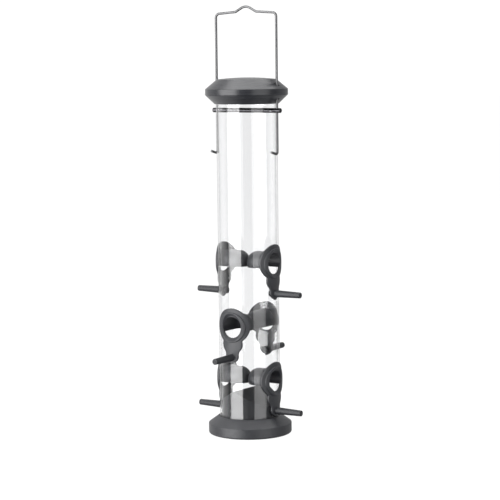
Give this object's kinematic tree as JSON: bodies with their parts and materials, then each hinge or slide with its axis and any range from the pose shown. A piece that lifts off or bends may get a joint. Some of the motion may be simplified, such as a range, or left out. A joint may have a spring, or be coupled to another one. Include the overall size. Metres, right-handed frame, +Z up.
{
  "type": "tube bird feeder",
  "caption": "Hanging tube bird feeder: clear tube in a cast base, hooded seed ports with perches, lift-off cap and sliding wire bail.",
  "frame": {"origin": "centre of the base's underside", "axes": "+Z up along the tube; X is the plane of the bail, the cross rod and the upper and lower ports; Y is the plane of the middle ports"},
  "size_m": [0.1292, 0.1292, 0.4496],
  "materials": {
    "clear_tube": "clear gloss",
    "cast_grey": "satin",
    "cap_grey": "satin",
    "perch_grey": "satin",
    "deflector_grey": "satin",
    "nut_dark": "satin",
    "dark_steel": "polished",
    "wire_steel": "drawn",
    "screw_steel": "plated"
  },
  "bodies": {
    "feeder": {"tube": "clear_tube", "base": "cast_grey", "seed_deflector": "deflector_grey", "base_screws": "screw_steel", "cross_rod": "dark_steel", "port_lower_right": "cast_grey", "perch_lower_right": "perch_grey", "port_lower_left": "cast_grey", "perch_lower_left": "perch_grey", "port_middle_back": "cast_grey", "perch_middle_back": "perch_grey", "perch_nut_middle_back": "nut_dark", "port_middle_front": "cast_grey", "perch_middle_front": "perch_grey", "perch_nut_middle_front": "nut_dark", "port_upper_right": "cast_grey", "perch_upper_right": "perch_grey", "perch_nut_upper_right": "nut_dark", "port_upper_left": "cast_grey", "perch_upper_left": "perch_grey", "perch_nut_upper_left": "nut_dark"},
    "cap": {"cap_top": "cap_grey", "cap_skirt": "cap_grey"},
    "bail": {"bail": "wire_steel"}
  },
  "joints": [
    {"name": "cap_lift", "type": "slide", "parent": "feeder", "child": "cap", "axis": [0, 0, 1], "range_m": [0, 0.06]},
    {"name": "bail_slide", "type": "slide", "parent": "feeder", "child": "bail", "axis": [0, 0, 1], "range_m": [0, 0.04]}
  ]
}
